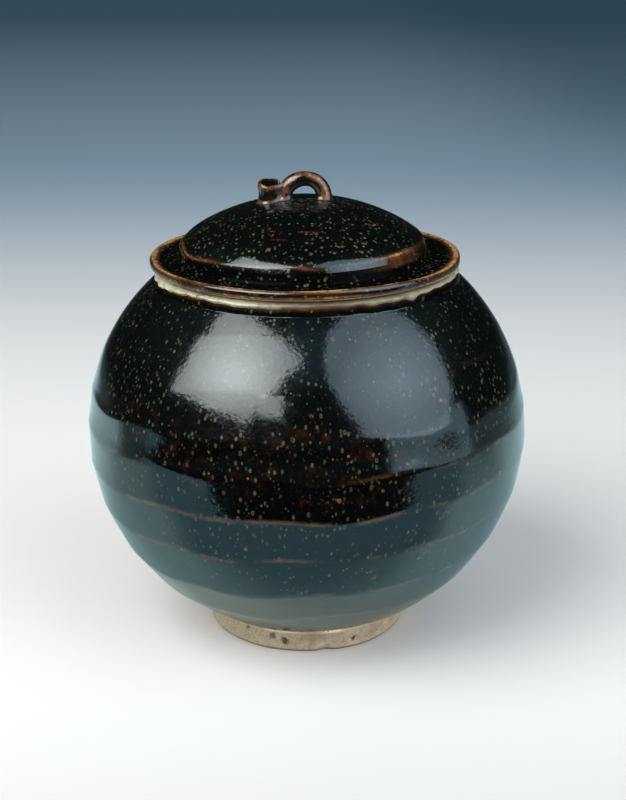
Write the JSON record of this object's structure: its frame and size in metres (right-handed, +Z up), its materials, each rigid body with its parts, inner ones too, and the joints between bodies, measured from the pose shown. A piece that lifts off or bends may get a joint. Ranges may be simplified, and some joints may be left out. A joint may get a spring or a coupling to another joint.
{
  "type": "covered jar",
  "caption": "Globular dark-glazed stoneware jar on a bare foot ring, with a lift-off domed cover that has a channelled brim and a small coil loop handle with a rolled tail.",
  "frame": {"origin": "centre of the ring that the foot stands on, in the plane of the surface under the jar", "axes": "+Z up along the axis that the jar and cover were thrown on, +X to the right as the picture sees it, and the loop handle in the XZ plane with its rolled tail on the -X side"},
  "size_m": [0.1446, 0.1446, 0.1533],
  "materials": {
    "stoneware_clay": "bare fired buff clay with fine iron specks",
    "black_glaze": "glossy black-brown glaze with olive flecks, thin and rust-brown on the ridges",
    "brown_glaze": "glossy dark brown glaze, thin and rusty on the crests"
  },
  "bodies": {
    "jar": {"jar_body": "stoneware_clay", "jar_glaze": "black_glaze", "lining_glaze": "brown_glaze"},
    "cover": {"cover_body": "stoneware_clay", "cover_glaze": "black_glaze", "loop_handle": "brown_glaze", "curled_tail": "brown_glaze"}
  },
  "joints": [
    {"name": "cover_lift", "type": "slide", "parent": "jar", "child": "cover", "axis": [0, 0, 1], "range_m": [0, 0.1]}
  ]
}
